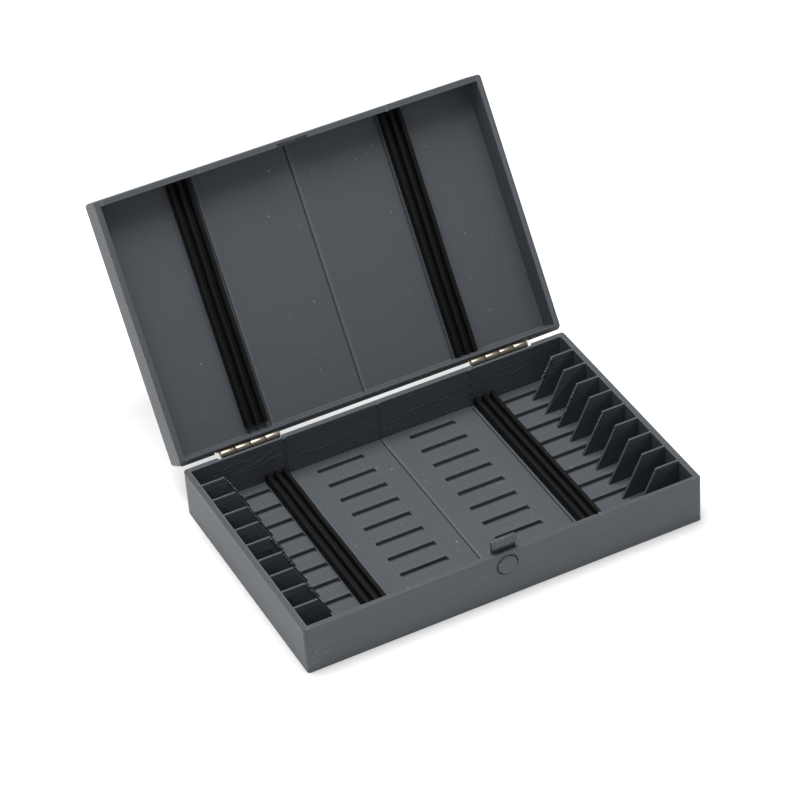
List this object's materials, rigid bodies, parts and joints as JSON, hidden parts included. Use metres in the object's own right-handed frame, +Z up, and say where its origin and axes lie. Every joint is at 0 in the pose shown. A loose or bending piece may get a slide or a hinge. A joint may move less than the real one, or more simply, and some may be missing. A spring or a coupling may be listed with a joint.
{
  "type": "hinged storage case with divided ends",
  "caption": "Shallow hinged storage case with rows of narrow cells at both ends, locating grooves in its floor, ribbed rubber pads, two small butt hinges and a push-button latch.",
  "frame": {"origin": "centre of the base's underside, which is the face that the case stands on", "axes": "X runs along the case from end to end, -Y is the front with the latch, +Z is up"},
  "size_m": [0.1646, 0.1772, 0.108],
  "materials": {
    "printed_plastic": "printed in layers, satin",
    "black_rubber": "extruded, ribbed",
    "plated_steel": "polished plating"
  },
  "bodies": {
    "base": {"base_tray": "printed_plastic", "divider_left_1": "printed_plastic", "divider_left_2": "printed_plastic", "divider_left_3": "printed_plastic", "divider_left_4": "printed_plastic", "divider_left_5": "printed_plastic", "divider_left_6": "printed_plastic", "divider_left_7": "printed_plastic", "divider_left_8": "printed_plastic", "divider_left_9": "printed_plastic", "divider_right_1": "printed_plastic", "divider_right_2": "printed_plastic", "divider_right_3": "printed_plastic", "divider_right_4": "printed_plastic", "divider_right_5": "printed_plastic", "divider_right_6": "printed_plastic", "divider_right_7": "printed_plastic", "divider_right_8": "printed_plastic", "divider_right_9": "printed_plastic", "base_pad_left": "black_rubber", "base_pad_right": "black_rubber", "hinge_left_base_leaf": "plated_steel", "hinge_left_pin": "plated_steel", "hinge_right_base_leaf": "plated_steel", "hinge_right_pin": "plated_steel", "latch_retainer": "printed_plastic"},
    "lid": {"lid_shell": "printed_plastic", "lid_pad_left": "black_rubber", "lid_pad_right": "black_rubber", "hinge_left_lid_leaf": "plated_steel", "hinge_right_lid_leaf": "plated_steel"},
    "latch": {"latch_tongue": "printed_plastic", "latch_button": "printed_plastic"}
  },
  "joints": [
    {"name": "lid_hinge", "type": "hinge", "parent": "base", "child": "lid", "pos_m": [0, 0.05324, 0.02075], "axis": [1, 0, 0], "range_deg": [0, 124.4]},
    {"name": "latch_press", "type": "hinge", "parent": "base", "child": "latch", "pos_m": [0, -0.04945, 0.003], "axis": [-1, 0, 0], "range_deg": [0, 4.1], "stiffness_Nm_per_rad": 0.5}
  ]
}
